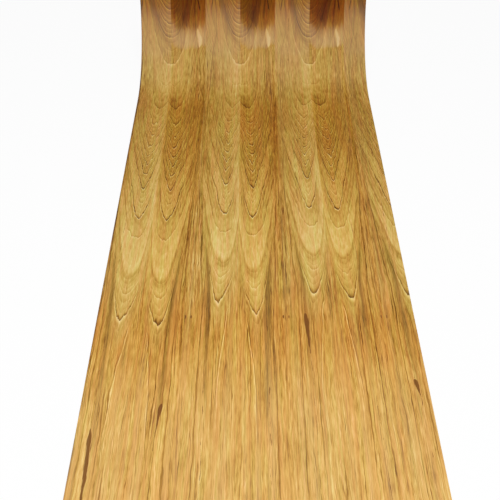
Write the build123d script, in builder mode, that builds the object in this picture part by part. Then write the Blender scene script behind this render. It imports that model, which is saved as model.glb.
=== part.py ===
"""A sheet of book-matched, flat-cut teak veneer.

The sheet is a row of thin leaves, sliced one after another from the same log and joined
edge to edge, each turned over like the page of a book. The first and last leaves are
narrower, where the sheet was cut to width. It lies face up on a level surface, and its
far end keeps the upward curl that it took from being stored in a roll.

Units are millimetres. X runs across the leaves, Y along the grain towards the curled end,
and Z up. The origin is at the middle of the sheet's bounding box, on its underside.
"""

import math
import os

from build123d import *

# Widths of the leaves after jointing, from the left long edge to the right one
first_leaf_width = 81.5
whole_leaf_width = 94.0
whole_leaf_count = 5
last_leaf_width = 58.1

# Length of the sheet along its underside, and thickness of the veneer
sheet_length = 2438.4
veneer_thickness = 0.6

# The curl at the far end, with its radius measured on the show face
curl_radius = 250.0
curl_angle = 70.0

# Sizes that follow
leaf_widths = [first_leaf_width] + [whole_leaf_width] * whole_leaf_count + [last_leaf_width]
sheet_width = sum(leaf_widths)
underside_radius = curl_radius + veneer_thickness
flat_length = sheet_length - math.radians(curl_angle) * underside_radius
curl_reach = underside_radius * math.sin(math.radians(min(curl_angle, 90.0)))
near_end = -(flat_length + curl_reach) / 2
curl_start = near_end + flat_length


def make_leaf(left_edge, width):
    """One leaf: a flat strip that turns up into the curl, with square trimmed edges."""
    with BuildPart() as leaf:
        with BuildSketch(Plane.YZ.offset(left_edge)):
            with BuildLine():
                flat = Line((near_end, 0), (curl_start, 0))
                JernArc(flat @ 1, flat % 1, underside_radius, curl_angle)
                offset(amount=veneer_thickness, side=Side.LEFT)
            make_face()
        extrude(amount=width)
    return leaf.part


os.makedirs("parts", exist_ok=True)
joint = -sheet_width / 2
for number, width in enumerate(leaf_widths, start=1):
    leaf = make_leaf(joint, width)
    leaf.label = f"leaf_{number}"
    export_step(leaf, f"parts/{leaf.label}.step")
    joint += width
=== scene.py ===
"""Looks of a sheet of book-matched, flat-cut teak veneer, lying face up with its far end curled.

Lengths are in metres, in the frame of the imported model: X across the leaves, Y along the grain
towards the curled end, Z up. The wood's figure is written in millimetres, because growth rings,
pores and streaks are easiest to read that way.
"""

import math

import bpy
from mathutils import Euler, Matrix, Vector


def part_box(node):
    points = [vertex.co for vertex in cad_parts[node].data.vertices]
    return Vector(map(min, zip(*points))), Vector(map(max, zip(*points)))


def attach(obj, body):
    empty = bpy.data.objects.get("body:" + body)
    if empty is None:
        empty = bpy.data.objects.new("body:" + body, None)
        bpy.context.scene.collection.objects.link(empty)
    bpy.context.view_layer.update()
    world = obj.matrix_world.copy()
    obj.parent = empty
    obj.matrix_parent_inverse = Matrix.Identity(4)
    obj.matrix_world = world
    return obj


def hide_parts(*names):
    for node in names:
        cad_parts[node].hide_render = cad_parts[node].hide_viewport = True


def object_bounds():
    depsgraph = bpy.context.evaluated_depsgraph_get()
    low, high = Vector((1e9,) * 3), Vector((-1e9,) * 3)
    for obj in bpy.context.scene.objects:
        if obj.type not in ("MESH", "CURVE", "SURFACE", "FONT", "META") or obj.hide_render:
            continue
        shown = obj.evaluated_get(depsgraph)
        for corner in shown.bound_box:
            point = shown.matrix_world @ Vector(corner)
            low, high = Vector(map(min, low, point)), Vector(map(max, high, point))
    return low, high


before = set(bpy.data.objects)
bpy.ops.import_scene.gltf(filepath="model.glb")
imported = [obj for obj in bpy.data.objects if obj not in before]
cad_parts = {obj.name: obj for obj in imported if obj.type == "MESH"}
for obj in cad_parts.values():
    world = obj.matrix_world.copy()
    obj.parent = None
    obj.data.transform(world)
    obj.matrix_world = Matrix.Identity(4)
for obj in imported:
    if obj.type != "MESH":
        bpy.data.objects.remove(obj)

cad_box = [list(corner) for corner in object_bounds()]

MM = 0.001

# The sheet, as built: the curl is a round arc at the far end, and its radius is the underside's
VENEER_THICKNESS = 0.6 * MM
CURL_RADIUS = 250.6 * MM
CURL_ANGLE = math.radians(70.0)
leaf_names = sorted(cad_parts)
sheet_low, sheet_high = (Vector(corner) for corner in cad_box)
curl_start = sheet_high.y - CURL_RADIUS * math.sin(CURL_ANGLE)
flat_length = curl_start - sheet_low.y
sheet_length = flat_length + CURL_RADIUS * CURL_ANGLE

# The figure is measured from a line across the curl, 12.7 mm short of the far end
FIGURE_START = 12.7 * MM
# The cells of a leaf's mesh
CELL_ACROSS = 4.0 * MM
CELL_ALONG = 6.0 * MM
# Veneer is never quite flat: it cockles by up to half a millimetre
COCKLE_HEIGHT = 0.5 * MM
COCKLE_LENGTH = 240 * MM
# Edges of the mesh that turn by more than this, in radians, are drawn sharp
SHARP_ANGLE = 1.0
# The UV map for the bake: how many strips a face is cut into, how wide the column of each strip is and
# where the first one starts, as shares of the map, and the same for the edges and ends, a column each
FACE_STRIPS, BACK_STRIPS, EDGE_STRIPS = 5.0, 2.0, 1.0
FACE_COLUMN, BACK_COLUMN = 0.155, 0.08
FACE_START, BACK_START = 0.0, 0.78
COLUMN_MARGIN = 0.02
EDGE_COLUMN = (0.955, 0.96)
NEXT_EDGE, NEXT_END, END_START = 0.01, 0.01, 0.02
MAP_MARGIN = 0.003

# Growth rings: how far the tip of each is from the figure's start, in mm along the crown line, and
# how clear its line is
RINGS = [(-60, 0.2), (-40, 0.2), (-26, 0.25), (-12, 0.2), (4, 0.15), (18, 0.4), (32, 0.15), (44, 0.15),
         (56, 0.45), (68, 0.15), (79, 0.2), (91, 0.5), (106, 0.1), (128, 0.15), (145, 0.1), (165, 0.5),
         (235, 0.15), (330, 0.35), (395, 0.35), (440, 0.5), (482, 0.65), (519, 0.6), (549, 0.8),
         (585, 0.7), (637, 0.95), (685, 0.2), (734, 1.0), (791, 0.4), (886, 0.1), (925, 0.2), (991, 0.8),
         (1060, 0.0), (1300, 0.0)]
# The shapes of some rings, which the others follow: how far the tip is from the figure's start, how
# broad its cup is, in mm, and how pointed and how rounded its crown is beside the cup
CROWN_SHAPES = [(-60, 4, 0.3, 0.045), (56, 4, 0.3, 0.045), (91, 5, 0.0, 0.055), (165, 5, 0.25, 0.055),
                (235, 5, 0.6, 0.060), (330, 6, 1.2, 0.075), (440, 5, 3.6, 0.020), (650, 5, 4.0, 0.020),
                (734, 9, 4.6, 0.020), (791, 5, 0.6, 0.075), (886, 5, 0.9, 0.080), (930, 6, 1.8, 0.060),
                (991, 10, 4.2, 0.030), (1300, 10, 4.2, 0.030)]
# How pale the wood is between those lines, by the same distance
RING_TONES = [(-60, 0.5), (60, 0.46), (82, 0.42), (100, 0.48), (130, 0.47), (156, 0.44), (167, 0.60),
              (185, 0.55), (230, 0.56), (325, 0.46), (345, 0.55), (385, 0.50), (400, 0.53), (480, 0.5),
              (600, 0.5), (637, 0.45), (655, 0.58), (715, 0.62), (735, 0.47), (750, 0.52), (785, 0.60),
              (820, 0.68), (862, 0.72), (875, 0.64), (886, 0.51), (896, 0.51), (912, 0.63), (930, 0.62),
              (950, 0.58), (975, 0.53), (990, 0.48), (1020, 0.49), (1080, 0.5)]
# Where things change down the figure, in mm: the curl's rings give way to the flat's, the slices slip
# apart and their last crowns slip further, the last crowns start, and straight grain follows them
CURL_RINGS_END = (50.0, 110.0)
SLIP_GROWS = (150.0, 520.0)
TIP_SLIP_GROWS = (780.0, 940.0)
LAST_CROWNS = (930.0, 980.0)
STRAIGHT_GRAIN = (995.0, 1080.0)
# Past this far from the crown line, in mm, the rings no longer bend but climb steadily
CROWN_REACH = 50.0
# How far a ring has climbed from its tip, in mm, while its lines change, and while the steep grain takes
# over, which it does only past this far from the crown joint
LINES_CHANGE = (10.0, 90.0)
STEEP_CLIMB = (140.0, 300.0)
STEEP_ACROSS = (45.0, 65.0)
# Each ring holds this many fine bands
BANDS_IN_RING = 3.0
# Between these values lies nearly all of a noise
NOISE_RANGE = (0.25, 0.75)
# The route of the soft dark bowl that closes the crowns of the curl
BOWL_ROUTE = [(-20, 53), (8, 49), (37, 38), (65, 28), (85, 20), (105, 8), (120, 0)]
# Streaks that run with the grain: (along, across) points, (along, half width) points, and how much
# paler the wood is there, or darker where below 0
STREAKS = [
    # a dark line outside the last crown
    ([(640, 86), (735, 82), (790, 80), (895, 77), (960, 73), (1030, 70), (1377, 71)],
     [(640, 0), (760, 1.8), (900, 2.2), (1000, 1.9), (1377, 1.6), (1600, 0)], -0.32),
    # a second one, nearer the crown joint
    ([(1000, 47), (1080, 43), (1377, 42)],
     [(1010, 0), (1070, 1.8), (1200, 1.5), (1500, 0)], -0.30),
    # a dark line in the mineral stain beside the last crown
    ([(820, 72), (870, 65), (930, 59), (980, 57), (1030, 55), (1080, 52), (1130, 50), (1250, 49)],
     [(840, 0), (900, 1.6), (980, 2.2), (1060, 1.6), (1200, 1.2), (1300, 0)], -0.15),
    # a pale winding line below the last crown, and its dark side
    ([(1005, 19), (1020, 21), (1060, 25), (1100, 30), (1180, 35), (1250, 37)],
     [(1005, 0), (1040, 1.6), (1180, 1.4), (1270, 0)], -0.25),
    ([(1005, 17), (1020, 19), (1060, 23), (1100, 28), (1180, 33), (1250, 35)],
     [(1005, 0), (1040, 1.5), (1180, 1.4), (1270, 0)], 0.50),
    # the arc of another ring, near the curl
    ([(-20, 69), (30, 65), (80, 66), (110, 72), (150, 77), (205, 79), (300, 81)],
     [(-20, 4), (30, 3), (60, 1.5), (120, 2.2), (200, 2.2), (300, 0)], -0.16),
    # the soft dark bowl that closes the crowns of the curl
    (BOWL_ROUTE, [(-20, 8), (0, 10), (60, 15), (90, 18), (110, 12), (125, 0)], -0.05),
    # the brown wood beside the lower crowns
    ([(500, 80), (650, 73), (800, 69), (900, 63), (1000, 58), (1100, 57)],
     [(500, 0), (620, 15), (820, 14), (900, 13), (1000, 8), (1150, 5), (1250, 0)], -0.12),
    # the brown wood along the plain joint, higher up
    ([(180, 94), (480, 94)], [(180, 0), (300, 12), (430, 14), (560, 0)], -0.04),
    # a dark tear at the curl
    ([(-20, 73), (20, 79)], [(-20, 2.2), (8, 2.2), (22, 0)], -0.4),
]
# The grey mineral stain beside the last crown: its (along, across) and (along, half width) points
STAIN_ROUTE = [(820, 72), (870, 66), (930, 61), (980, 60), (1030, 58), (1080, 56), (1130, 54), (1250, 52)]
STAIN_REACH = [(820, 0), (890, 5), (950, 8), (1010, 10), (1080, 9), (1150, 7), (1250, 0)]
# Where the pin knot is, across and along, and how far it reaches from there
PIN_KNOT = (88.7, 1016.0)
PIN_KNOT_REACH = (1.6, 4.5)
# A split: how far it starts from the crown joint, how far it leans towards the joint by its end, its
# half width where it gapes most, how ragged its sides are, and how far its colour covers the wood's
SPLIT_ACROSS = 58.0
SPLIT_LEAN = 6.0
SPLIT_GAPE = 5.0
SPLIT_RAGGED = 4.0
SPLIT_COVER = 0.9
# The browner strip at the left long edge: how far from the edge it fades, how ragged it is, and how far
# from the crown joint it has to be, which only that edge is
STRIP_FADES = (1.0, 5.0)
STRIP_RAGGED = 12.0
STRIP_ACROSS = 70.0

# How much each mark pales the wood, or darkens it where below 0
DARK_LINE = -0.36
PALE_LINE = 0.40
GLINT = 0.24
LAST_LEAF = -0.04
LONG_EDGE = -0.3
STAIN = -0.10
KNOT = -1.2
# Colours of the wood, besides each side's own, and of the painted sheen
REDDER = "feebe0"
YELLOWER = "f8ffe6"
GREYER = "b59a64"
STAIN_COLOUR = "6e5c22"
ORANGE = "cc9048"
WARMER = "ffeacb"
# the colour of a painted sheen on the curl
PAINTED_SHEEN_COLOUR = "ccaa88"
SPLIT_COLOUR = "70421a"
# How far the stain's colour covers the wood's, and how far the steep grain takes the warmer tint
STAIN_COVER = 0.4
STEEP_WARMTH = 0.3
# The finish: its bump is a fraction of the veneer's thickness
ROUGHNESS = 0.55
SHEEN = 0.1
BUMP_STRENGTH = 0.4
BUMP_HEIGHT = 0.3 * MM

# The studio: the floor lies just under the sheet, and shows nearly white
WORLD_LIGHT = 0.3
FLOOR_REACH = 15.0
FLOOR_LEVEL = -0.5 * MM
FLOOR_GLOW = 0.92
LAMP_SIZE = (1.8, 1.4)
LAMP_POWER = 57.0
LAMP_PLACE = (0.0, -0.45, 2.4)
# The camera: its place and its direction, in degrees, are fitted to the photograph's outline, which
# doesn't settle the focal length, so an ordinary one is assumed
CAMERA_LENS = 50.4
CAMERA_SENSOR = 36.0
CAMERA_SIDE = -0.0128
CAMERA_BACK = 1.5553
CAMERA_HEIGHT = 1.0659
CAMERA_DOWN = 46.537
CAMERA_TURN = -0.128


def linear(sheet_hex):
    """The linear colour of an sRGB hex value, such as c89b54."""
    channels = [int(sheet_hex[i:i + 2], 16) / 255 for i in (0, 2, 4)]
    return [c / 12.92 if c <= 0.04045 else ((c + 0.055) / 1.055) ** 2.4 for c in channels] + [1.0]


def add(tree, kind, inputs=(), **settings):
    """Adds a node with its settings, and sets or links its inputs, which are given by place or by name."""
    node = tree.nodes.new(kind)
    for name, value in settings.items():
        setattr(node, name, value)
    for place, value in inputs.items() if isinstance(inputs, dict) else enumerate(inputs):
        if isinstance(value, bpy.types.Node):
            value = value.outputs[0]
        if isinstance(value, bpy.types.NodeSocket):
            tree.links.new(value, node.inputs[place])
        elif value is not None:
            node.inputs[place].default_value = value
    return node


def maths(tree, operation, *values, **settings):
    """Adds a sum, such as ADD or MULTIPLY, of one to three values."""
    return add(tree, "ShaderNodeMath", values, operation=operation, **settings)


def remap(tree, value, *ends, smooth=False):
    """Takes a value from one range to another, which is 0 to 1 if not given, and holds it at the ends."""
    settings = {"interpolation_type": "SMOOTHSTEP"} if smooth else {}
    return add(tree, "ShaderNodeMapRange", (value, *ends), **settings)


def vector_maths(tree, operation, *vectors):
    """Adds a sum of one or two vectors."""
    return add(tree, "ShaderNodeVectorMath", vectors, operation=operation)


def vector(tree, *values):
    """A vector made of up to three numbers."""
    return add(tree, "ShaderNodeCombineXYZ", values)


def parts(tree, value):
    """The X, Y and Z of a vector."""
    return add(tree, "ShaderNodeSeparateXYZ", (value,)).outputs


def held(tree, name):
    """The vector that a leaf's mesh holds under this name."""
    return add(tree, "ShaderNodeAttribute", attribute_name=name).outputs["Vector"]


def mix(tree, share, first, second):
    """The first number where the share is 0, the second where it is 1, and between them elsewhere."""
    return add(tree, "ShaderNodeMix", {0: share, 2: first, 3: second})


def blend(tree, share, first, second, **settings):
    """The same for two colours, which a blend type of MULTIPLY multiplies instead."""
    inputs = {0: share, 6: first, 7: second}
    return add(tree, "ShaderNodeMix", inputs, data_type="RGBA", **settings).outputs[2]


def leaf_tree():
    """Geometry nodes for one leaf: a thin gridded slab, laid flat and turned up round the curl.

    The figure attribute holds millimetres across from the crown joint, millimetres along from the
    figure's start, and the slice's number in the flitch. The grain attribute is the direction of
    the fibres. The sheet attribute holds millimetres to the sheet's nearest long edge. The marks
    attribute holds where a split starts and ends, and how far this slice's figure has slipped
    along the grain. The tips attribute holds how much further its last crowns have slipped.
    """
    tree = bpy.data.node_groups.new("Veneer leaf", "GeometryNodeTree")
    for name in ("Left edge", "Width", "Crown joint", "Slice", "Slip", "Tip slip", "Slit start", "Slit end"):
        tree.interface.new_socket(name=name, in_out="INPUT", socket_type="NodeSocketFloat")
    tree.interface.new_socket(name="Finish", in_out="INPUT", socket_type="NodeSocketMaterial")
    tree.interface.new_socket(name="Leaf", in_out="OUTPUT", socket_type="NodeSocketGeometry")
    given = add(tree, "NodeGroupInput").outputs

    size = vector(tree, given["Width"], sheet_length, VENEER_THICKNESS)
    columns = maths(tree, "DIVIDE", given["Width"], CELL_ACROSS)
    columns = add(tree, "FunctionNodeFloatToInt", (columns,), rounding_mode="CEILING")
    slab = add(tree, "GeometryNodeMeshCube", {
        "Size": size, "Vertices X": columns, "Vertices Y": round(sheet_length / CELL_ALONG), "Vertices Z": 2})
    half = vector_maths(tree, "MULTIPLY", size, (0.5, 0.5, 0.5))
    place = vector_maths(tree, "ADD", add(tree, "GeometryNodeInputPosition"), half)
    place = parts(tree, place)
    across, along, height = place["X"], place["Y"], place["Z"]

    # A UV map for the bake. A leaf is far longer than a map is wide, so each face is cut across into
    # strips, which lie side by side, and each edge and end has a column of its own.
    share = maths(tree, "DIVIDE", across, given["Width"])
    facing = add(tree, "GeometryNodeFieldOnDomain", {"Value": add(tree, "GeometryNodeInputNormal")},
                 data_type="FLOAT_VECTOR", domain="FACE")
    facing = parts(tree, facing)
    on_back = maths(tree, "LESS_THAN", facing["Z"], -0.5)
    on_edge = maths(tree, "LESS_THAN", maths(tree, "ABSOLUTE", facing["Z"]), 0.5)
    on_end = maths(tree, "GREATER_THAN", maths(tree, "ABSOLUTE", facing["Y"]), 0.5)
    strips = mix(tree, on_back, FACE_STRIPS, BACK_STRIPS)
    strips = mix(tree, on_edge, strips, EDGE_STRIPS)
    face_middle = add(tree, "GeometryNodeFieldOnDomain", {"Value": along}, data_type="FLOAT", domain="FACE")
    strip_length = maths(tree, "DIVIDE", sheet_length, strips)
    strip = maths(tree, "FLOOR", maths(tree, "DIVIDE", face_middle, strip_length))
    in_strip = maths(tree, "SUBTRACT", maths(tree, "DIVIDE", along, strip_length), strip)
    column = mix(tree, on_back, FACE_COLUMN, BACK_COLUMN)
    first_column = mix(tree, on_back, FACE_START, BACK_START)
    in_column = remap(tree, share, 0.0, 1.0, COLUMN_MARGIN, 1 - COLUMN_MARGIN)
    face_x = maths(tree, "MULTIPLY_ADD", maths(tree, "ADD", strip, in_column), column, first_column)
    edge_x = remap(tree, height, 0.0, VENEER_THICKNESS, *EDGE_COLUMN)
    right_edge = maths(tree, "GREATER_THAN", facing["X"], 0.5)
    edge_x = maths(tree, "MULTIPLY_ADD", right_edge, NEXT_EDGE, edge_x)
    far_end = maths(tree, "GREATER_THAN", facing["Y"], 0.5)
    end_x = maths(tree, "MULTIPLY_ADD", on_end, END_START, edge_x)
    end_x = maths(tree, "MULTIPLY_ADD", far_end, NEXT_END, end_x)
    map_x = mix(tree, on_edge, face_x, end_x)
    map_y = mix(tree, on_end, in_strip, share)
    map_y = remap(tree, map_y, 0.0, 1.0, MAP_MARGIN, 1 - MAP_MARGIN)
    bake_map = vector(tree, map_x, map_y)
    slab = add(tree, "GeometryNodeStoreNamedAttribute",
               {"Geometry": slab, "Name": "OFBake", "Value": bake_map}, data_type="FLOAT2", domain="CORNER")

    # What the finish reads
    from_start = maths(tree, "SUBTRACT", sheet_length - FIGURE_START, along)
    from_start = maths(tree, "MULTIPLY", from_start, 1 / MM)
    sheet_x = maths(tree, "ADD", across, given["Left edge"])
    from_joint = maths(tree, "SUBTRACT", sheet_x, given["Crown joint"])
    from_joint = maths(tree, "MULTIPLY", maths(tree, "ABSOLUTE", from_joint), 1 / MM)
    figure = vector(tree, from_joint, from_start, given["Slice"])
    from_left = maths(tree, "SUBTRACT", sheet_x, sheet_low.x)
    from_right = maths(tree, "SUBTRACT", sheet_high.x, sheet_x)
    from_edge = maths(tree, "MINIMUM", from_left, from_right)
    from_edge = maths(tree, "MULTIPLY", from_edge, 1 / MM)
    sheet = vector(tree, from_edge)
    marks = vector(tree, given["Slit start"], given["Slit end"], given["Slip"])
    tips = vector(tree, given["Tip slip"])

    # The bend: the flat run, then round the curl's centre
    run = maths(tree, "MINIMUM", along, flat_length)
    past = maths(tree, "SUBTRACT", along, run)
    angle = maths(tree, "DIVIDE", past, CURL_RADIUS)
    sine = maths(tree, "SINE", angle)
    cosine = maths(tree, "COSINE", angle)
    fibres = vector(tree, 0.0, cosine, sine)

    # The cockle lifts the veneer a little, and dies out at both ends
    ripple_at = vector(tree, sheet_x, along)
    ripple = add(tree, "ShaderNodeTexNoise", {"Vector": ripple_at, "Scale": 1 / COCKLE_LENGTH, "Detail": 1.0})
    ripple = remap(tree, ripple.outputs["Fac"], 0.4, 0.75, 0.0, COCKLE_HEIGHT)
    to_far_end = maths(tree, "SUBTRACT", sheet_length, along)
    to_end = maths(tree, "MINIMUM", to_far_end, along)
    dying = remap(tree, to_end, 0.0, COCKLE_LENGTH / 3, smooth=True)
    lift = maths(tree, "MULTIPLY_ADD", ripple, dying, height)

    arm = maths(tree, "SUBTRACT", CURL_RADIUS, lift)
    sideways = maths(tree, "MULTIPLY_ADD", arm, sine, run)
    y = maths(tree, "ADD", sideways, sheet_low.y)
    drop = maths(tree, "MULTIPLY", arm, cosine)
    z = maths(tree, "SUBTRACT", CURL_RADIUS, drop)
    bent = vector(tree, sheet_x, y, z)

    for name, value in (("figure", figure), ("sheet", sheet), ("marks", marks), ("tips", tips),
                        ("grain", fibres)):
        slab = add(tree, "GeometryNodeStoreNamedAttribute", {"Geometry": slab, "Name": name, "Value": value},
                   data_type="FLOAT_VECTOR", domain="POINT")
    leaf = add(tree, "GeometryNodeSetPosition", {"Geometry": slab, "Position": bent})
    corners = maths(tree, "GREATER_THAN", add(tree, "GeometryNodeInputMeshEdgeAngle"), SHARP_ANGLE)
    leaf = add(tree, "GeometryNodeSetShadeSmooth",
               {"Geometry": leaf, "Selection": corners, "Shade Smooth": False}, domain="EDGE")
    leaf = add(tree, "GeometryNodeRealizeInstances", (leaf,))
    leaf = add(tree, "GeometryNodeSetMaterial", {"Geometry": leaf, "Material": given["Finish"]})
    add(tree, "NodeGroupOutput", (leaf,))
    return tree


def make_leaf(tree, name, values):
    """One leaf as a plain mesh, with the tree's named inputs set to these values."""
    leaf = bpy.data.objects.new("veneer_" + name, bpy.data.meshes.new("empty"))
    bpy.context.scene.collection.objects.link(leaf)
    modifier = leaf.modifiers.new("Veneer leaf", "NODES")
    modifier.node_group = tree
    for item in tree.interface.items_tree:
        if item.in_out == "INPUT":
            modifier[item.identifier] = values[item.name]
    graph = bpy.context.evaluated_depsgraph_get()
    placeholder = leaf.data
    leaf.data = bpy.data.meshes.new_from_object(leaf.evaluated_get(graph))
    leaf.modifiers.clear()
    bpy.data.meshes.remove(placeholder)
    return leaf


def stretched_noise(tree, figure, width, length, change, detail=2.0):
    """Noise drawn out along the grain: its width and length in mm, and its change from slice to slice."""
    at = vector_maths(tree, "MULTIPLY", figure, (1 / width, 1 / length, change))
    inputs = {"Vector": at, "Scale": 1.0, "Detail": detail, "Roughness": 0.55}
    return add(tree, "ShaderNodeTexNoise", inputs).outputs["Fac"]


def follow(tree, distance, points, smooth=True):
    """A value that follows given (distance in mm, value) points, and stays level beyond them."""
    (first, _), (last, _) = points[0], points[-1]
    most = max(value for _, value in points)
    node = add(tree, "ShaderNodeFloatCurve", {"Value": remap(tree, distance, first, last)})
    curve = node.mapping.curves[0]
    for place, value in points[1:-1]:
        curve.points.new((place - first) / (last - first), value / most)
    curve.points[0].location.y = points[0][1] / most
    curve.points[-1].location.y = points[-1][1] / most
    for point in curve.points:
        point.handle_type = "AUTO_CLAMPED" if smooth else "VECTOR"
    node.mapping.update()
    return maths(tree, "MULTIPLY", node, most)


def streak(tree, across, along, route, reach):
    """A streak that runs with the grain, 1 at its middle and 0 outside it.

    Its route is (along, across) points, and its reach is (along, half width) points.
    """
    off = maths(tree, "SUBTRACT", across, follow(tree, along, route))
    off = maths(tree, "ABSOLUTE", off)
    width = maths(tree, "MAXIMUM", follow(tree, along, reach), 0.01)
    return remap(tree, off, 0.0, width, 1.0, 0.0, smooth=True)


def crowns(tree, figure, slip, tip_slip):
    """The growth rings of a crown-cut leaf, which open up the leaf from a tip on the crown line.

    Gives where a point is along the slipped figure and across the wandering fibres, how deep it is
    in the rings and their number there, how far it is above the next ring's line and below the last
    one, how clear those lines are, and how far the ring has climbed from its tip. All but the number
    and the clearness are in mm.
    """
    place = parts(tree, figure)
    across, along = place["X"], place["Y"]
    slipped = remap(tree, along, *SLIP_GROWS, smooth=True)
    slipped = maths(tree, "MULTIPLY", slipped, slip)
    further = remap(tree, along, *TIP_SLIP_GROWS, smooth=True)
    slipped = maths(tree, "MULTIPLY_ADD", further, tip_slip, slipped)
    down_leaf = maths(tree, "SUBTRACT", along, slipped)

    # The crown line: on the joint at the curl, then about a third of the way across the leaf
    wander = remap(tree, stretched_noise(tree, figure, 60, 300, 0.12, 1.0), *NOISE_RANGE, -3.0, 3.0)
    jitter = remap(tree, stretched_noise(tree, figure, 12, 60, 0.3, 2.0), *NOISE_RANGE, -1.6, 1.6)
    wander = maths(tree, "ADD", wander, jitter)
    grain_x = maths(tree, "ADD", across, wander)
    crown_line = follow(tree, down_leaf, [(140, 0.0), (300, 20.0), (430, 29.0), (860, 31.0), (1000, 37.0)])
    off = maths(tree, "SUBTRACT", grain_x, crown_line)
    off = maths(tree, "ABSOLUTE", off)
    beside = maths(tree, "MINIMUM", off, CROWN_REACH)
    flank = maths(tree, "SUBTRACT", off, beside)

    # How far each shaped ring has climbed from its tip here, and so where it crosses, down the leaf:
    # between two such places, the rings are spread evenly
    depth, last_tip, last_place = CROWN_SHAPES[0][0], None, None
    for tip, cup, pointed, rounded in CROWN_SHAPES:
        arm = maths(tree, "MULTIPLY_ADD", beside, beside, cup * cup)
        arm = maths(tree, "SUBTRACT", maths(tree, "SQRT", arm), float(cup))
        climb = maths(tree, "MULTIPLY", maths(tree, "MULTIPLY_ADD", arm, rounded, pointed), arm)
        ring_place = maths(tree, "SUBTRACT", tip, climb)
        if last_place:
            part = remap(tree, down_leaf, last_place, ring_place, 0.0, tip - last_tip)
            depth = maths(tree, "ADD", depth, part)
        last_tip, last_place = tip, ring_place
    climb = maths(tree, "SUBTRACT", depth, down_leaf)

    rise = follow(tree, down_leaf, [(100, 6.0), (350, 12.0), (500, 25.0)])
    climb = maths(tree, "MULTIPLY_ADD", flank, rise, climb)

    # Small waves, highest at the tips
    height = follow(tree, along,
                    [(60, 4.0), (140, 8.0), (300, 24.0), (450, 34.0), (700, 26.0), (860, 16.0),
                     (1000, 26.0)])
    height = maths(tree, "MULTIPLY", height, remap(tree, climb, 20.0, 110.0, 1.0, 0.5))
    wave = maths(tree, "SUBTRACT", stretched_noise(tree, figure, 7, 30, 0.35, 2.5), 0.5)
    spike = maths(tree, "MULTIPLY", follow(tree, across, [(0, 75), (5, 36), (10, 12), (16, 0)]),
                  follow(tree, down_leaf, [(430, 0.0), (580, 1.0), (920, 1.0), (1000, 0.3)]))
    climb = maths(tree, "ADD", climb, spike)
    depth = maths(tree, "ADD", down_leaf, climb)
    depth = maths(tree, "MULTIPLY_ADD", wave, height, depth)

    # Count the rings down to that depth, and find the space between the two nearest
    tips = [tip for tip, _ in RINGS]
    count = follow(tree, depth, [(tip, number) for number, tip in enumerate(tips)], smooth=False)
    space = follow(tree, depth, [((high + low) / 2, low - high) for high, low in zip(tips, tips[1:])],
                   smooth=False)
    below = maths(tree, "MULTIPLY", maths(tree, "FRACT", count), space)
    above = maths(tree, "SUBTRACT", space, below)
    clear = follow(tree, depth, RINGS)
    return down_leaf, grain_x, depth, count, above, below, clear, climb


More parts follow.
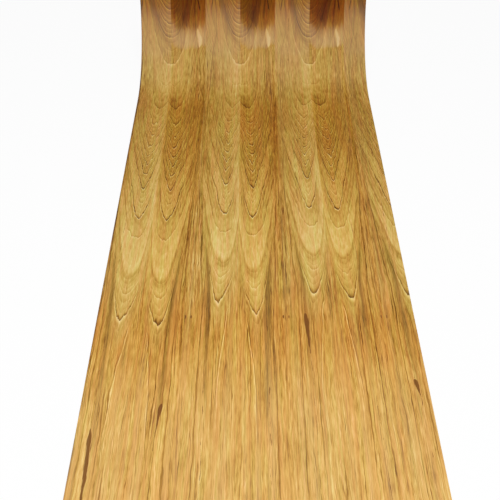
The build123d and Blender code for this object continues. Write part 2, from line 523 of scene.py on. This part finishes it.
def teak(name, ramp_stops, painted_light_shade_and_tone, painted_sheen, slope, curl_rings, own_streaks):
    """Crown-cut teak, knife-sliced and unsanded: open-grained wood with a low golden sheen.

    Its growth rings show as dark porous lines in crowns down the leaf, with a paler line below
    each, and its fibres as fine streaks. The fibres leave the face at a slope, and on turned
    leaves they slope the other way, so the same wood shines at another angle. Its colour also holds painted
    shade and light down the leaf, and a painted sheen and highlights on the curl.
    """
    material = bpy.data.materials.new(name)
    material.use_nodes = True
    tree = material.node_tree
    tree.nodes.clear()

    figure = held(tree, "figure")
    marks = held(tree, "marks")
    place = parts(tree, figure)
    across, along = place["X"], place["Y"]
    marks = parts(tree, marks)
    split_start, split_end, slip = marks["X"], marks["Y"], marks["Z"]
    tips = held(tree, "tips")
    tip_slip = parts(tree, tips)["X"]
    down_leaf, grain_x, depth, count, above, below, clear, climb = crowns(tree, figure, slip, tip_slip)

    # Three kinds of cut in each leaf: the crowns, the steep grain beside them, the straight grain below
    straight = remap(tree, depth, *STRAIGHT_GRAIN, smooth=True)
    crowned = maths(tree, "SUBTRACT", 1.0, straight)
    steep = remap(tree, climb, *STEEP_CLIMB, smooth=True)
    steep = maths(tree, "MULTIPLY", steep,
                  follow(tree, down_leaf, [(150, 0.0), (240, 0.7), (880, 1.0), (1050, 0.0)]))
    steep = maths(tree, "MULTIPLY", steep, remap(tree, across, *STEEP_ACROSS))

    # Ring lines, broken along their length and faint at the flanks
    broken = remap(tree, stretched_noise(tree, figure, 18, 50, 0.5), 0.35, 0.65, 0.6, 1.0)
    tip = remap(tree, climb, 8.0, 30.0, 1.0, 0.0, smooth=True)
    broken = maths(tree, "MAXIMUM", broken, tip)
    faint = remap(tree, depth, *LAST_CROWNS, 0.5, 0.25)
    faded = remap(tree, depth, *LAST_CROWNS, 140.0, 60.0)
    fading = remap(tree, climb, 15.0, faded, 1.0, faint)
    strength = maths(tree, "MULTIPLY", broken, clear)
    strength = maths(tree, "MULTIPLY", strength, crowned)
    strength = maths(tree, "MULTIPLY", strength, remap(tree, down_leaf, *CURL_RINGS_END, curl_rings, 1.0))
    thick = remap(tree, climb, *LINES_CHANGE, remap(tree, depth, *LAST_CROWNS, 8.0, 14.0), 20.0)
    dark_line = remap(tree, above, 0.0, thick, 1.0, 0.0, smooth=True)
    dark_line = maths(tree, "MULTIPLY", dark_line, strength)
    dark_line = maths(tree, "MULTIPLY", dark_line, fading)
    thick = maths(tree, "MULTIPLY", thick, remap(tree, depth, *LAST_CROWNS, 0.7, 1.0))
    pale_line = remap(tree, below, 0.0, thick, 1.0, 0.0, smooth=True)
    pale_line = maths(tree, "MULTIPLY", pale_line, strength)
    lasting = remap(tree, depth, *LAST_CROWNS, 0.2, 0.5)
    pale_line = maths(tree, "MULTIPLY", pale_line, remap(tree, climb, *LINES_CHANGE, 1.0, lasting))

    # The wood between the lines: how pale each ring is, and the fine bands in it
    ring_tone = follow(tree, depth, RING_TONES)
    plain = remap(tree, climb, 50.0, 150.0, 0.0, remap(tree, depth, 735.0, 770.0, 0.5, 0.0))
    plain = maths(tree, "MAXIMUM", maths(tree, "MULTIPLY", steep, 0.8), plain)
    ring_tone = mix(tree, plain, ring_tone, 0.5)
    fine_band = maths(tree, "MULTIPLY", count, BANDS_IN_RING)
    fine_band = maths(tree, "FRACT", fine_band)
    fine_band = maths(tree, "SUBTRACT", 0.5, fine_band)
    fine_band = maths(tree, "MULTIPLY", fine_band, crowned)
    fine_band = maths(tree, "MULTIPLY", fine_band,
                      follow(tree, down_leaf,
                             [(160, 0.0), (240, 0.06), (330, 0.12), (450, 0.22), (700, 0.16), (800, 0.05),
                              (870, 0.05), (930, 0.14), (1000, 0.12)]))

    # Fibres and pores: fine streaks along the grain, broader ones, and thin lines that wind with them.
    # Teak's pores are 0.1 to 0.3 mm wide, too fine to see from here, so they are drawn coarser.
    grained = vector(tree, grain_x, along, place["Z"])
    fine = maths(tree, "SUBTRACT", stretched_noise(tree, grained, 1.5, 24, 0.8, 3.0), 0.5)
    coarse = maths(tree, "SUBTRACT", stretched_noise(tree, grained, 3.2, 14, 0.6, 3.0), 0.5)
    fibre = maths(tree, "SUBTRACT", stretched_noise(tree, grained, 1.4, 130, 0.5, 3.0), 0.5)
    long_ = maths(tree, "SUBTRACT", stretched_noise(tree, grained, 4.5, 500, 0.3, 3.0), 0.5)
    mottle = maths(tree, "SUBTRACT", stretched_noise(tree, grained, 25, 90, 0.3, 2.0), 0.5)
    bends = stretched_noise(tree, grained, 9, 480, 0.25, 2.0)
    winding = maths(tree, "ABSOLUTE", maths(tree, "SUBTRACT", bends, 0.5))
    winding = remap(tree, winding, 0.0, 0.018, 1.0, 0.0, smooth=True)
    patchy = remap(tree, stretched_noise(tree, grained, 14, 160, 0.6), 0.42, 0.62)
    winding = maths(tree, "MULTIPLY", winding, patchy)
    glint = maths(tree, "ABSOLUTE", maths(tree, "SUBTRACT", bends, 0.57))
    glint = remap(tree, glint, 0.0, 0.012, 1.0, 0.0, smooth=True)
    glint = maths(tree, "MULTIPLY", glint, maths(tree, "MULTIPLY_ADD", steep, 0.6, straight))
    patchy = remap(tree, stretched_noise(tree, grained, 11, 90, 0.9), 0.45, 0.60)
    glint = maths(tree, "MULTIPLY", glint, patchy)
    streaky = maths(tree, "MAXIMUM", straight, steep)
    fine_share = remap(tree, streaky, 0.0, 1.0, 0.65, 0.95)
    coarse_share = remap(tree, streaky, 0.0, 1.0, 0.28, 0.20)
    fibre_share = maths(tree, "MULTIPLY_ADD", steep, 0.4, remap(tree, straight, 0.0, 1.0, 0.25, 0.95))
    long_share = maths(tree, "MULTIPLY_ADD", steep, 0.2, remap(tree, straight, 0.0, 1.0, 0.10, 0.60))
    mottle_share = remap(tree, straight, 0.0, 1.0, 0.25, 0.45)
    winding_share = maths(tree, "MINIMUM", remap(tree, straight, 0.0, 1.0, 0.0, -0.34),
                          maths(tree, "MULTIPLY", steep, -0.10))

    tone = maths(tree, "MULTIPLY", fine, fine_share)
    tone = maths(tree, "MULTIPLY_ADD", coarse, coarse_share, tone)
    tone = maths(tree, "MULTIPLY_ADD", fibre, fibre_share, tone)
    tone = maths(tree, "MULTIPLY_ADD", long_, long_share, tone)
    tone = maths(tree, "MULTIPLY_ADD", winding, winding_share, tone)
    tone = maths(tree, "MULTIPLY_ADD", glint, GLINT, tone)
    tone = maths(tree, "MULTIPLY_ADD", mottle, mottle_share, tone)
    calm = follow(tree, along, [(20, 0.5), (70, 0.8), (110, 1.0), (180, 1.3), (260, 1.2), (330, 1.0)])
    tone = maths(tree, "MULTIPLY_ADD", tone, calm, ring_tone)
    tone = maths(tree, "ADD", tone, fine_band)
    browner = follow(tree, down_leaf, [(200, 0.04), (330, 0.09), (560, 0.08), (680, 0.03)])
    browner = maths(tree, "MULTIPLY", browner, steep)
    tone = maths(tree, "SUBTRACT", tone, browner)
    tone = maths(tree, "MULTIPLY_ADD", dark_line, DARK_LINE, tone)
    tone = maths(tree, "MULTIPLY_ADD", pale_line, PALE_LINE, tone)

    # The last leaf is a little browner, and so is the left long edge
    last_leaf = maths(tree, "GREATER_THAN", place["Z"], len(leaf_names) - 1.5)
    tone = maths(tree, "MULTIPLY_ADD", last_leaf, LAST_LEAF, tone)
    edges = held(tree, "sheet")
    edges = parts(tree, edges)["X"]
    edges = maths(tree, "MULTIPLY_ADD", fibre, STRIP_RAGGED, edges)
    edges = remap(tree, edges, *STRIP_FADES, 1.0, 0.0, smooth=True)
    edges = maths(tree, "MULTIPLY", edges, maths(tree, "GREATER_THAN", across, STRIP_ACROSS))
    tone = maths(tree, "MULTIPLY_ADD", edges, LONG_EDGE, tone)

    # Streaks that every slice of the log shows, those of this side alone, and the mineral stain
    for route, reach, weight in STREAKS + own_streaks:
        line = streak(tree, grain_x, down_leaf, route, reach)
        rough = remap(tree, fine, -0.2, 0.2, 0.6, 1.2)
        line = maths(tree, "MULTIPLY", line, rough)
        tone = maths(tree, "MULTIPLY_ADD", line, weight, tone)

    stain = streak(tree, grain_x, down_leaf, STAIN_ROUTE, STAIN_REACH)
    stain = maths(tree, "MULTIPLY", stain, remap(tree, fibre, -0.2, 0.2, 0.4, 1.0))
    tone = maths(tree, "MULTIPLY_ADD", stain, STAIN, tone)

    # A pin knot near the plain joint, and the split that some slices have
    knot = vector(tree, across, along)
    knot = vector_maths(tree, "SUBTRACT", knot, (*PIN_KNOT, 0.0))
    knot = vector_maths(tree, "MULTIPLY", knot, (1 / PIN_KNOT_REACH[0], 1 / PIN_KNOT_REACH[1], 0.0))
    knot = vector_maths(tree, "LENGTH", knot).outputs["Value"]
    knot = remap(tree, knot, 0.4, 1.1, 1.0, 0.0, smooth=True)
    tone = maths(tree, "MULTIPLY_ADD", knot, KNOT, tone)
    run = remap(tree, along, split_start, split_end, 0.0, 1.0)
    opened = maths(tree, "MULTIPLY", maths(tree, "SQRT", run), math.pi)
    gape = maths(tree, "MULTIPLY", maths(tree, "SINE", opened), SPLIT_GAPE)
    gape = maths(tree, "MAXIMUM", gape, 0.001)
    off = maths(tree, "MULTIPLY_ADD", run, SPLIT_LEAN, grain_x)
    off = maths(tree, "ABSOLUTE", maths(tree, "SUBTRACT", off, SPLIT_ACROSS))
    off = maths(tree, "MULTIPLY_ADD", fine, SPLIT_RAGGED, off)
    split = remap(tree, off, 0.0, gape, 1.0, 0.0)
    split = remap(tree, split, 0.1, 0.5, 0.0, SPLIT_COVER, smooth=True)

    ramp = add(tree, "ShaderNodeValToRGB", (tone,))
    stops = ramp.color_ramp.elements
    stops[0].position, stops[0].color = ramp_stops[0][0], linear(ramp_stops[0][1])
    stops[1].position, stops[1].color = ramp_stops[-1][0], linear(ramp_stops[-1][1])
    for position, colour in ramp_stops[1:-1]:
        stops.new(position).color = linear(colour)

    # Some fibres are redder and some yellower, some broad streaks greyer, and the mineral stain greyest
    tint = remap(tree, stretched_noise(tree, grained, 6, 120, 0.9, 3.0), 0.35, 0.65)
    tint = blend(tree, tint, linear(REDDER), linear(YELLOWER))
    colour = blend(tree, 1.0, ramp, tint, blend_type="MULTIPLY")
    grey = remap(tree, stretched_noise(tree, figure, 16, 500, 0.3, 3.0), 0.45, 0.65, 0.0, 0.25)
    grey = maths(tree, "MULTIPLY", grey, remap(tree, streaky, 0.0, 1.0, 0.3, 1.0))
    colour = blend(tree, grey, colour, linear(GREYER))
    grey = maths(tree, "MULTIPLY", stain, STAIN_COVER)
    colour = blend(tree, grey, colour, linear(STAIN_COLOUR))

    # The straight grain below the crowns is more orange, most of all in strips, and so, a little, is
    # the steep grain
    strips = remap(tree, stretched_noise(tree, grained, 8, 260, 0.4, 3.0), 0.48, 0.64, 0.0, 0.42)
    strips = maths(tree, "MULTIPLY", strips, straight)
    colour = blend(tree, strips, colour, linear(ORANGE))
    tint = remap(tree, along, 850.0, 1100.0, smooth=True)
    tint = maths(tree, "MULTIPLY", tint, straight)
    tint = maths(tree, "MAXIMUM", tint, maths(tree, "MULTIPLY", steep, STEEP_WARMTH))
    tint = blend(tree, tint, linear("ffffff"), linear(WARMER))
    colour = blend(tree, 1.0, colour, tint, blend_type="MULTIPLY")

    # Painted shade darkens the curled end and painted light pales the near end, partly the wood's own tone; a
    # painted sheen crosses the curl
    edge = remap(tree, stretched_noise(tree, figure, 14, 60, 0.2), 0.3, 0.7, -6.0, 6.0)
    edge = maths(tree, "ADD", along, edge)
    edge = maths(tree, "SUBTRACT", edge, follow(tree, across, [(0, 0), (30, 14), (60, 12), (94, 6)]))
    colour = add(tree, "ShaderNodeGamma", (colour, follow(tree, edge, painted_light_shade_and_tone)))
    colour = blend(tree, follow(tree, edge, painted_sheen), colour, linear(PAINTED_SHEEN_COLOUR))
    colour = blend(tree, split, colour, linear(SPLIT_COLOUR))

    normal = add(tree, "ShaderNodeNewGeometry").outputs["Normal"]
    fibres = held(tree, "grain")
    leaning = vector_maths(tree, "MULTIPLY", fibres, (slope,) * 3)
    leaning = vector_maths(tree, "ADD", normal, leaning)
    leaning = vector_maths(tree, "NORMALIZE", leaning)
    bump = add(tree, "ShaderNodeBump", {
        "Height": tone, "Strength": BUMP_STRENGTH, "Distance": BUMP_HEIGHT, "Normal": leaning})

    surface = add(tree, "ShaderNodeBsdfPrincipled", {
        "Base Color": colour, "Roughness": ROUGHNESS, "IOR": 1.5, "Specular IOR Level": SHEEN,
        "Normal": bump})
    add(tree, "ShaderNodeOutputMaterial", (surface,))
    return material


def white_to_camera(tree, shown, lighting, shader_out):
    """Links shown for the rays that look at the background, and lighting for the rest."""
    path = add(tree, "ShaderNodeLightPath").outputs
    seen = maths(tree, "ADD", path["Is Camera Ray"], path["Is Glossy Ray"])
    seen = maths(tree, "ADD", seen, path["Is Transmission Ray"], use_clamp=True)
    both = add(tree, "ShaderNodeMixShader", (seen, lighting, shown))
    add(tree, shader_out, (both,))


def make_studio():
    """A plain pale floor and backdrop, and soft light from above."""
    world = bpy.data.worlds.new("Studio")
    bpy.context.scene.world = world
    world.use_nodes = True
    tree = world.node_tree
    tree.nodes.clear()
    shown = add(tree, "ShaderNodeBackground", (linear("ffffff"), 1.0))
    lighting = add(tree, "ShaderNodeBackground", (linear("ffffff"), WORLD_LIGHT))
    white_to_camera(tree, shown, lighting, "ShaderNodeOutputWorld")

    floor_mesh = bpy.data.meshes.new("floor")
    corners = [(x * FLOOR_REACH, y * FLOOR_REACH, FLOOR_LEVEL)
               for x, y in ((-1, -1), (1, -1), (1, 1), (-1, 1))]
    floor_mesh.from_pydata(corners, [], [(0, 1, 2, 3)])
    floor = bpy.data.objects.new("floor", floor_mesh)
    bpy.context.scene.collection.objects.link(floor)
    paint = bpy.data.materials.new("Studio white")
    paint.use_nodes = True
    tree = paint.node_tree
    tree.nodes.clear()
    matt = add(tree, "ShaderNodeBsdfDiffuse", (linear("f0f0f0"),))
    glow = add(tree, "ShaderNodeEmission", (linear("ffffff"), 1.0))
    lit = add(tree, "ShaderNodeMixShader", (FLOOR_GLOW, matt, glow))
    white_to_camera(tree, lit, matt, "ShaderNodeOutputMaterial")
    floor_mesh.materials.append(paint)

    lamp = bpy.data.lights.new("Softbox", "AREA")
    lamp.shape = "RECTANGLE"
    lamp.size, lamp.size_y = LAMP_SIZE
    lamp.energy = LAMP_POWER
    holder = bpy.data.objects.new("Softbox", lamp)
    holder.location = LAMP_PLACE
    bpy.context.scene.collection.objects.link(holder)


def make_camera():
    """The photograph's view: from above the near half, looking down along the grain."""
    lens = bpy.data.cameras.new("Camera")
    lens.lens = CAMERA_LENS
    lens.sensor_width = CAMERA_SENSOR
    camera = bpy.data.objects.new("Camera", lens)
    camera.location = (CAMERA_SIDE, curl_start - CAMERA_BACK, CAMERA_HEIGHT)
    camera.rotation_euler = Euler((math.radians(90 - CAMERA_DOWN), 0.0, math.radians(CAMERA_TURN)))
    bpy.context.scene.collection.objects.link(camera)
    bpy.context.scene.camera = camera


# How far each slice's figure has slipped along the grain, how much further its last crowns have, and
# where its wood has split, in mm
SLIP = {"leaf_1": 10.0, "leaf_2": 16.0, "leaf_3": -4.0, "leaf_4": 6.0, "leaf_5": -23.0, "leaf_6": -17.0,
        "leaf_7": -20.0}
TIP_SLIP = {"leaf_1": 24.0, "leaf_2": 30.0, "leaf_3": -9.0, "leaf_4": 14.0, "leaf_5": -9.0, "leaf_6": -3.0,
            "leaf_7": -6.0}
SLITS = {"leaf_1": (1254.0, 1420.0), "leaf_2": (1206.0, 1265.0), "leaf_5": (1007.0, 1107.0),
         "leaf_7": (1157.0, 1195.0)}

pale_side = teak(
    "Teak, pale leaf",
    ramp_stops=[(0.05, "5e3a12"), (0.3, "a37a34"), (0.5, "c69f51"), (0.7, "ddbc72"), (0.95, "efdaa0")],
    # painted shade towards the curled end and painted light towards the near end, partly the wood's own tone
    painted_light_shade_and_tone=[(-30, 1.8), (10, 1.65), (40, 1.3), (90, 1.08), (160, 0.97), (350, 1.15), (500, 1.08),
               (700, 0.98), (850, 0.96), (1000, 0.95), (1080, 0.87), (1200, 0.72), (1377, 0.68)],
    # a painted sheen on the curl
    painted_sheen=[(-13, 0.08), (50, 0.26), (100, 0.26), (140, 0.16), (250, 0.0)],
    slope=0.10,
    curl_rings=1.5,
    own_streaks=[
        # a whitish strip along the crown joint
        ([(100, 4), (500, 4)], [(160, 0), (230, 36), (420, 34), (600, 16), (700, 0)], 0.10),
        # the dark bowl of the curl is darker on these leaves
        (BOWL_ROUTE, [(-20, 8), (0, 11), (60, 14), (90, 16), (110, 11), (125, 0)], -0.11),
    ])
golden_side = teak(
    "Teak, golden leaf",
    ramp_stops=[(0.05, "542f0a"), (0.3, "966a26"), (0.5, "bf9445"), (0.7, "d6b161"), (0.95, "ecd092")],
    # painted shade towards the curled end and painted light towards the near end, partly the wood's own tone
    painted_light_shade_and_tone=[(-30, 2.0), (10, 1.95), (45, 1.6), (65, 1.2), (90, 0.98), (160, 0.90), (250, 1.08), (350, 1.3),
               (500, 1.2), (650, 1.03), (800, 0.96), (1000, 0.95), (1080, 0.85), (1200, 0.71), (1377, 0.68)],
    # a painted highlight band on the curl
    painted_sheen=[(-13, 0.0), (40, 0.05), (65, 0.3), (85, 0.35), (110, 0.0)],
    slope=-0.10,
    curl_rings=0.4,
    own_streaks=[
        # a paler strip along the crown joint
        ([(160, 1), (520, 1)], [(160, 0), (230, 10), (430, 9), (520, 0)], 0.13),
        # painted shade, darkest at the top of the curl
        ([(-20, 40), (60, 40)], [(-20, 90), (10, 80), (40, 25), (65, 0)], -0.10),
        # painted highlights on the curl: a pale strip below it, and a spot with two lobes
        ([(60, 40), (130, 42)], [(60, 0), (95, 8), (130, 0)], 0.18),
        ([(50, 76), (125, 79)], [(55, 0), (85, 16), (118, 0)], 0.16),
        ([(70, 72), (100, 78)], [(66, 0), (84, 7), (99, 0)], 0.60),
        ([(84, 80), (118, 77)], [(84, 0), (101, 7), (120, 0)], 0.70),
        # the dark wood of a rounded crown beside the joint
        ([(270, 10), (330, 19)], [(270, 0), (300, 14), (322, 14), (334, 0)], -0.08),
    ])

tree = leaf_tree()
whole_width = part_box("leaf_2")[1].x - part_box("leaf_2")[0].x
first_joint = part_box("leaf_1")[1].x
for number, name in enumerate(leaf_names):
    low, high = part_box(name)
    turned = number % 2 == 1
    slit_start, slit_end = SLITS.get(name, (0.0, 0.0))
    leaf = make_leaf(tree, name, {
        "Left edge": low.x,
        "Width": high.x - low.x,
        "Crown joint": first_joint + 2 * whole_width * (number // 2),
        "Slice": float(number),
        "Slip": SLIP[name],
        "Tip slip": TIP_SLIP[name],
        "Slit start": slit_start,
        "Slit end": slit_end,
        "Finish": golden_side if turned else pale_side,
    })
    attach(leaf, "root")
    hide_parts(name)

make_studio()
make_camera()
view = bpy.context.scene.view_settings
view.view_transform = "Standard"
